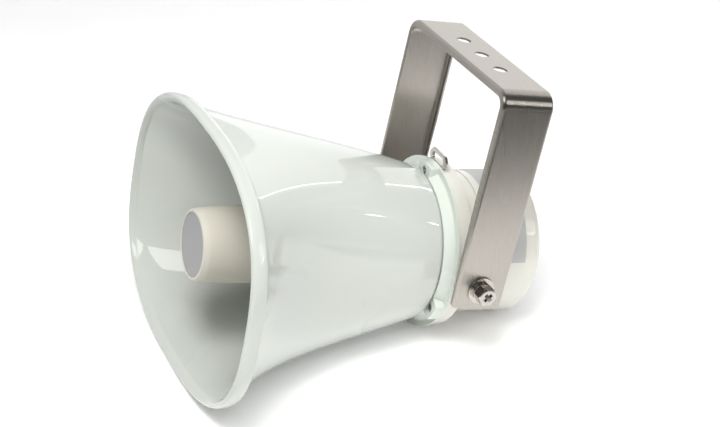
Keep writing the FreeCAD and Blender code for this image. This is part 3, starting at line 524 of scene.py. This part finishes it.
# %% Bracket sizes, in millimetres about the pivot
strip_width, strip_thick = 41.5, 1.5
edge_round, edge_depth, edge_taper = 2.6, 5.6, 85.0
leg_outer, bar_top, leg_foot = 81.0, 154.0, -14.8
outer_bend, foot_corner = 13.0, 2.5
hole_radius, hole_spacing, pivot_hole = 5.5, 30.0, 4.3
bend_steps, round_steps = 18, 8
half_strip = strip_width / 2


# %% Draw the channel's section at one foot
def channel_section():
    points = [Vector((leg_outer - edge_depth, -half_strip, leg_foot))]
    for step in range(round_steps + 1):
        turn = math.pi / 2 * (step / round_steps - 1)
        x = leg_outer - edge_round * (1 - math.cos(turn))
        points.append(Vector((x, edge_round * (1 + math.sin(turn)) - half_strip, leg_foot)))
    other_half = [Vector((p.x, -p.y, p.z)) for p in reversed(points)]
    return [p * mm for p in points + other_half]


section = channel_section()
select_only()
bpy.ops.mesh.primitive_plane_add(size=mm)
bracket = name_active("bracket_strip")
edit(bracket)
bpy.ops.mesh.merge(type="CENTER")
bpy.ops.transform.translate(value=section[0])
for here, there in zip(section, section[1:]):
    bpy.ops.mesh.extrude_vertices_move(TRANSFORM_OT_translate={"value": there - here})
bpy.ops.mesh.select_all(action="SELECT")
print("channel section has", len(section), "points")

# %% [markdown]
# Each straight run is an extrusion and each bend is a quarter turn of the spin tool. A leg takes two
# extrusions, with a row of points between them where its turned edges begin to run out, so that shaping
# the foot leaves the rest of the leg alone.


# %% Run the section up, over and down
def run(x, z):
    bpy.ops.mesh.extrude_edges_move(TRANSFORM_OT_translate={"value": (x * mm, 0, z * mm)})


def bend(x, z):
    centre = (x * mm, 0, z * mm)
    bpy.ops.mesh.spin(steps=bend_steps, angle=math.pi / 2, center=centre, axis=(0, 1, 0))


straight = leg_outer - outer_bend
bend_level = bar_top - outer_bend
taper_end = leg_foot + edge_taper
run(0, edge_taper)
run(0, bend_level - taper_end)
bend(straight, bend_level)
run(-2 * straight, 0)
bend(-straight, bend_level)
run(0, taper_end - bend_level)
run(0, -edge_taper)
bpy.ops.mesh.select_all(action="SELECT")
bpy.ops.mesh.remove_doubles(threshold=0.001 * mm)
bpy.ops.mesh.normals_make_consistent(inside=False)
leave_edit()
print("sheet has", len(bracket.data.polygons), "faces")

# %% [markdown]
# At the feet the turned edges have run out and the corners are cut round. Only the two end rows of the
# sheet have to move for that: the free edges are drawn back to the rounding, and each point near a corner
# is lifted on to the corner's circle.

# %% Shape the feet and thicken the sheet
foot_row, foot_edge_left, sheet_edge = 1.0, 0.3, 0.4
for vertex in bracket.data.vertices:
    if vertex.co.z > (leg_foot + foot_row) * mm:
        continue
    side = math.copysign(1, vertex.co.x)
    vertex.co.x = side * max(abs(vertex.co.x), (leg_outer - edge_round - foot_edge_left) * mm)
    over = max(0.0, abs(vertex.co.y) / mm - half_strip + foot_corner)
    vertex.co.z += (foot_corner - math.sqrt(foot_corner**2 - min(over, foot_corner) ** 2)) * mm
thickness = bracket.modifiers.new("strip thickness", "SOLIDIFY")
thickness.thickness = strip_thick * mm
thickness.offset = -1
thickness.use_even_offset = True
add_bevel(bracket, sheet_edge * mm, segments=2, degrees=50)
apply_modifiers(bracket)
xs = [v.co.x for v in bracket.data.vertices]
zs = [v.co.z for v in bracket.data.vertices]
print("bracket spans", round(min(xs), 4), round(max(xs), 4), "and", round(min(zs), 4), round(max(zs), 4))

# %% [markdown]
# The three bolt holes in the bar and the two pivot holes are drilled with cylinders and a Boolean. Each
# hole then gets a hair of a chamfer, because a punched edge that is truly sharp never catches the light.


# %% Drill the holes
def drill(radius, centre, turn):
    select_only()
    bpy.ops.mesh.primitive_cylinder_add(
        vertices=48,
        radius=radius * mm,
        depth=4 * strip_thick * mm,
        location=centre,
        rotation=turn,
    )
    return bpy.context.active_object


hole_edge = 0.2
hole_height = (bar_top - strip_thick / 2) * mm
leg_middle = (leg_outer - strip_thick / 2) * mm
drills = []
for place in (-1, 0, 1):
    drills.append(drill(hole_radius, (place * hole_spacing * mm, 0, hole_height), (0, 0, 0)))
for side in (-1, 1):
    drills.append(drill(pivot_hole, (side * leg_middle, 0, 0), (0, math.pi / 2, 0)))
for bit in drills:
    cut = bracket.modifiers.new("drilled hole", "BOOLEAN")
    cut.operation = "DIFFERENCE"
    cut.object = bit
    cut.solver = "EXACT"
apply_modifiers(bracket)
for bit in drills:
    bpy.data.objects.remove(bit)
add_bevel(bracket, hole_edge * mm, segments=2, degrees=60)
apply_modifiers(bracket)
lay(bracket, Matrix.Translation(pivot) @ Matrix.Rotation(-strip_lean, 4, "X"))
smooth(bracket, 30)
bracket.data.materials.append(bracket_steel)
hand_over(bracket, "bracket", "bracket_stainless", "mounting_bracket")

# %% [markdown]
# ## Pieces that keep their CAD form
# The collar, the housing, the cover, the eye and the hardware already have the right form in CAD, but
# their edges are knife sharp. A real moulding or a tumbled washer has a small radius everywhere, and that
# radius is what draws a bright line along each edge. We copy each solid's mesh, merge its loose
# triangles, dissolve the flat ones into whole faces and bevel what is left of the sharp edges. The
# moulded pieces get a larger radius than the steel ones.


# %% Softened copies
def softened(node, name, finish, slot, soft):
    """A copy of a CAD solid on the speaker's body, with its sharp edges rounded by soft millimetres."""
    select_only()
    piece = nodes[node].copy()
    piece.data = nodes[node].data.copy()
    for key in list(piece.keys()):
        del piece[key]
    piece.parent = None
    bpy.context.scene.collection.objects.link(piece)
    piece.name = name
    piece.data.name = name
    piece.data.materials.clear()
    edit(piece)
    bpy.ops.mesh.customdata_custom_splitnormals_clear()
    bpy.ops.mesh.select_all(action="SELECT")
    bpy.ops.mesh.remove_doubles(threshold=0.002 * mm)
    bpy.ops.mesh.dissolve_limited(angle_limit=math.radians(0.4))
    leave_edit()
    add_bevel(piece, soft * mm, segments=3, degrees=28)
    apply_modifiers(piece)
    smooth(piece)
    piece.data.materials.append(finish)
    hand_over(piece, "speaker", slot, node)


softened("clamp_collar", "collar_ring", collar_coat, "collar_gloss", 0.5)
softened("driver_housing", "housing_drum", housing_gloss, "housing_ivory", 0.8)
softened("rear_cover", "cover_cap", housing_gloss, "housing_ivory", 0.5)
softened("safety_eye", "eye_plate", hardware_steel, "stainless_hardware", 0.35)
softened("pivot_bolts", "bolt_heads", hardware_steel, "stainless_hardware", 0.25)
softened("flat_washers", "washer_rings", hardware_steel, "stainless_hardware", 0.25)
softened("spring_washers", "spring_rings", hardware_steel, "stainless_hardware", 0.3)

# %% [markdown]
# ## The label
# A plain silver label is wrapped over the top of the rear cover. It is a sticker: a strip of a slightly
# larger cylinder, a tenth of a millimetre thick. We start from a cylinder with no caps, delete what the
# sticker doesn't cover, and let Solidify give the film its thickness.

# %% Wrap the label
label_radius, label_front, label_back = 55.24, 20.0, 50.0
label_top, label_sweep, label_film = 90.0, 162.0, 0.1
select_only()
bpy.ops.mesh.primitive_cylinder_add(
    vertices=180,
    radius=label_radius * mm,
    depth=(label_back - label_front) * mm,
    end_fill_type="NOTHING",
    location=(0, (label_front + label_back) / 2 * mm, 0),
    rotation=(math.pi / 2, 0, 0),
)
label = name_active("cover_label")
bpy.ops.object.transform_apply(location=True, rotation=True, scale=True)
edit(label)
bpy.ops.mesh.select_all(action="DESELECT")
mesh = bmesh.from_edit_mesh(label.data)
for face in mesh.faces:
    centre = face.calc_center_median()
    angle = math.degrees(math.atan2(centre.z, centre.x))
    face.select_set(abs(angle - label_top) > label_sweep / 2)
bmesh.update_edit_mesh(label.data)
bpy.ops.mesh.delete(type="FACE")
leave_edit()
film = label.modifiers.new("film", "SOLIDIFY")
film.thickness = label_film * mm
film.offset = 1
apply_modifiers(label)
lay(label)
smooth(label)
label.data.materials.append(label_silver)
hand_over(label, "speaker", "badge_grey")

# %% [markdown]
# ## Finishes for the pieces that stay
# The other CAD nodes are right as they are: small screws, the gland, the throat and everything sealed
# inside. They only need their finish, so the material goes straight into their slots and their meshes are
# left alone.

# %% Assign the finishes
finishes = {
    bullet_satin: ["throat_tube"],
    badge_satin: ["bullet_badge"],
    screw_steel: ["collar_screws", "throat_screws", "cover_screws", "strap_screws"],
    seal_rubber: ["gland_seal"],
    seal_silicone: ["flare_gasket", "cover_gasket"],
    gland_nylon: ["gland_body", "gland_nut", "gland_locknut"],
    resin_black: ["phase_plug", "diaphragm_clamp"],
    film_amber: ["diaphragm_dome", "diaphragm_surround"],
    copper_wire: ["voice_coil", "transformer_winding"],
    motor_steel: ["top_plate", "pole_yoke", "transformer_core", "transformer_strap"],
    ferrite_dark: ["magnet_ring"],
    insert_brass: ["pivot_inserts"],
}
for finish, names in finishes.items():
    for name in names:
        nodes[name].data.materials.clear()
        nodes[name].data.materials.append(finish)
print("finished", sum(len(names) for names in finishes.values()), "CAD nodes in place")

# %% [markdown]
# ## The studio
# The speaker stands on a plain white table that runs out of sight. A real one would be a sheet of white
# board. Its satin finish hardly shines, so no lamp is mirrored in it, and a faint glow of its own lifts
# the shadows the way a white room would.

# %% The table
table_size, table_glow = 12, 0.07
table_white = satin("table_white", (0.93, 0.93, 0.93), (0.955, 0.955, 0.955), (0.65, 0.75), 0.02)
table_shader = table_white.node_tree.nodes["Principled BSDF"]
table_shader.inputs["Specular IOR Level"].default_value = 0.1
table_shader.inputs["Emission Color"].default_value = (1, 1, 1, 1)
table_shader.inputs["Emission Strength"].default_value = table_glow
select_only()
bpy.ops.mesh.primitive_plane_add(size=table_size)
floor = name_active("table")
floor.data.materials.append(table_white)
print("table is", table_size, "m wide")

# %% [markdown]
# ## Dark cards
# Bare steel and a glossy coat show whatever stands round them, and on an all-white table they would turn
# white too. A photographer lays dark cards beside the object, just out of the picture, to give such
# surfaces something dark to mirror. Here one card lies to the right, for the bracket's leg, and one in
# front, for the inside of the mouth. Each fades from white to dark. The camera doesn't see them, they
# cast no shadow, and their undersides are clear, so the table stays plain from every side.

# %% The shade of a card
card_white, card_lift = 0.95, 2.0


def card_finish(name, axis, start, end, dark):
    """White before start and dark past end, both in metres along one axis, and clear from below."""
    finish, tree, shader, place = new_finish(name)
    split = tree.nodes.new("ShaderNodeSeparateXYZ")
    tree.links.new(place, split.inputs["Vector"])
    fall = tree.nodes.new("ShaderNodeMapRange")
    fall.interpolation_type = "SMOOTHSTEP"
    fall.inputs["From Min"].default_value = start
    fall.inputs["From Max"].default_value = end
    tree.links.new(split.outputs[axis], fall.inputs["Value"])
    shade = add_ramp(tree, fall.outputs["Result"], [card_white] * 3, [dark] * 3, 0, 1)
    tree.links.new(shade, shader.inputs["Base Color"])
    shader.inputs["Roughness"].default_value = 0.7
    shader.inputs["Specular IOR Level"].default_value = 0.1
    side = tree.nodes.new("ShaderNodeNewGeometry")
    clear = tree.nodes.new("ShaderNodeBsdfTransparent")
    mix = tree.nodes.new("ShaderNodeMixShader")
    tree.links.new(side.outputs["Backfacing"], mix.inputs["Fac"])
    tree.links.new(shader.outputs["BSDF"], mix.inputs[1])
    tree.links.new(clear.outputs["BSDF"], mix.inputs[2])
    tree.links.new(mix.outputs["Shader"], tree.nodes["Material Output"].inputs["Surface"])
    return finish


# %% Lay the cards
def dark_card(name, low, high, *fade):
    """A card that lies flat over the table between two corners."""
    middle_x = (low[0] + high[0]) / 2
    middle_y = (low[1] + high[1]) / 2
    select_only()
    bpy.ops.mesh.primitive_plane_add(size=1, location=(middle_x, middle_y, card_lift * mm))
    card = name_active(name)
    card.scale = (high[0] - low[0], high[1] - low[1], 1)
    bpy.ops.object.transform_apply(location=True, rotation=True, scale=True)
    card.data.materials.append(card_finish(name, *fade))
    card.visible_camera = False
    card.visible_shadow = False
    print(name, "fades along", fade[0])


dark_card("card_right", (0.25, -0.28), (1.4, 1.2), "X", 0.25, 0.45, 0.04)
dark_card("card_front", (-1.2, -1.6), (1.4, -0.28), "Y", -0.28, -0.51, 0.27)

# %% [markdown]
# ## The lamps
# Each lamp has one job. The broad lamp behind on the left lights the top of the flare, and two thin
# strips draw the long fine lines along the flare and the driver. The lamp over the mouth is the bright
# window inside the horn, and the one behind on the right is the bright band round the bracket's bend.
# These two show only in reflections. Three more lamps above and to the right light the coats evenly, and
# they are kept out of reflections, because the coats would mirror their edges as hard curves.


# %% Lamps
def softbox(name, place, aim, size, glow, roll=0):
    """A rectangular lamp that faces a point; glow is the brightness of its face."""
    select_only()
    bpy.ops.object.light_add(type="AREA", location=place)
    lamp = bpy.context.active_object
    lamp.name = name
    lamp.data.shape = "RECTANGLE"
    lamp.data.size, lamp.data.size_y = size
    lamp.data.energy = glow * math.pi * size[0] * size[1]
    lamp.rotation_mode = "QUATERNION"
    facing = (Vector(aim) - Vector(place)).to_track_quat("-Z", "Y")
    lamp.rotation_quaternion = facing @ Quaternion((0, 0, 1), math.radians(roll))
    return lamp


middle = (cad_box[0] + cad_box[1]) / 2
softbox("back_left", (-1.03, 0.987, 0.59), (-0.23, -0.053, -0.08), (2.2, 0.6), 0.75, -45)
softbox("left_strip", (-0.40, 1.2, 0.82), middle, (0.7, 0.02), 9, -45)
softbox("right_strip", (0.9, 1.08, 0.67), middle, (0.9, 0.03), 11)
glossy_lamps = [
    softbox("over_mouth", (0.35, -0.87, 1.2), middle, (0.45, 0.65), 5),
    softbox("back_right", (1.4, 1.4, 1.2), middle, (0.7, 0.7), 2.2),
]
for lamp in glossy_lamps:
    lamp.visible_diffuse = False
diffuse_lamps = [
    softbox("over_right", (0.9, -0.3, 1.6), middle, (1.4, 1.4), 4.2),
    softbox("over_front", (0.65, -0.55, 1.6), middle, (0.6, 0.6), 14),
    softbox("right", (1.7, 0.2, 0.7), middle, (1.0, 1.0), 2.5),
]
for lamp in diffuse_lamps:
    lamp.visible_glossy = False
bpy.context.scene.view_settings.view_transform = "Standard"

# %% [markdown]
# ## The room
# The room has a bright wall on the left, which the bracket's bar mirrors, and it is dim everywhere else,
# which keeps the shape of the flare's side clear. A dot product of the view direction with one slanted
# vector gives such a slope of light.

# %% The room
room_dim, room_bright = 0.08, 0.92
bright_side = (-0.95, 0, 0.2)
room = bpy.data.worlds.new("room")
bpy.context.scene.world = room
room.use_nodes = True
tree = room.node_tree
toward = tree.nodes.new("ShaderNodeTexCoord")
slope = tree.nodes.new("ShaderNodeVectorMath")
slope.operation = "DOT_PRODUCT"
slope.inputs[1].default_value = bright_side
tree.links.new(toward.outputs["Generated"], slope.inputs[0])
glow = tree.nodes.new("ShaderNodeMapRange")
glow.inputs["To Min"].default_value = room_dim
glow.inputs["To Max"].default_value = room_bright
tree.links.new(slope.outputs["Value"], glow.inputs["Value"])
tree.links.new(glow.outputs["Result"], tree.nodes["Background"].inputs["Strength"])
tree.nodes["Background"].inputs["Color"].default_value = (1, 1, 1, 1)
print("room slopes from", room_dim, "to", room_bright)

# %% [markdown]
# ## The camera
# The picture was taken from the front quarter, well above the table, through a longish lens and with the
# camera held a touch off level. Place, aim and roll are enough to say that.

# %% Camera
camera_place = Vector((1.0123, -0.4369, 0.6781))
camera_aim = Vector((0.0057, 0.0028, 0.1013))
camera_roll = math.radians(2.06)
select_only()
bpy.ops.object.camera_add(location=camera_place)
camera = bpy.context.active_object
camera.rotation_mode = "QUATERNION"
level = (camera_aim - camera_place).to_track_quat("-Z", "Y")
camera.rotation_quaternion = level @ Quaternion((0, 0, 1), camera_roll)
camera.data.sensor_width = 36
camera.data.lens = 83.02
camera.data.clip_start = 0.05
camera.data.clip_end = 50
bpy.context.scene.camera = camera
print("camera stands", round((camera_aim - camera_place).length, 3), "m from the speaker")

# %% [markdown]
# ## Sizes
# Dressing must not change the size. The box of the CAD solids is printed here.

# %% Sizes
print("CAD box", [[round(x, 4) for x in v] for v in cad_box])
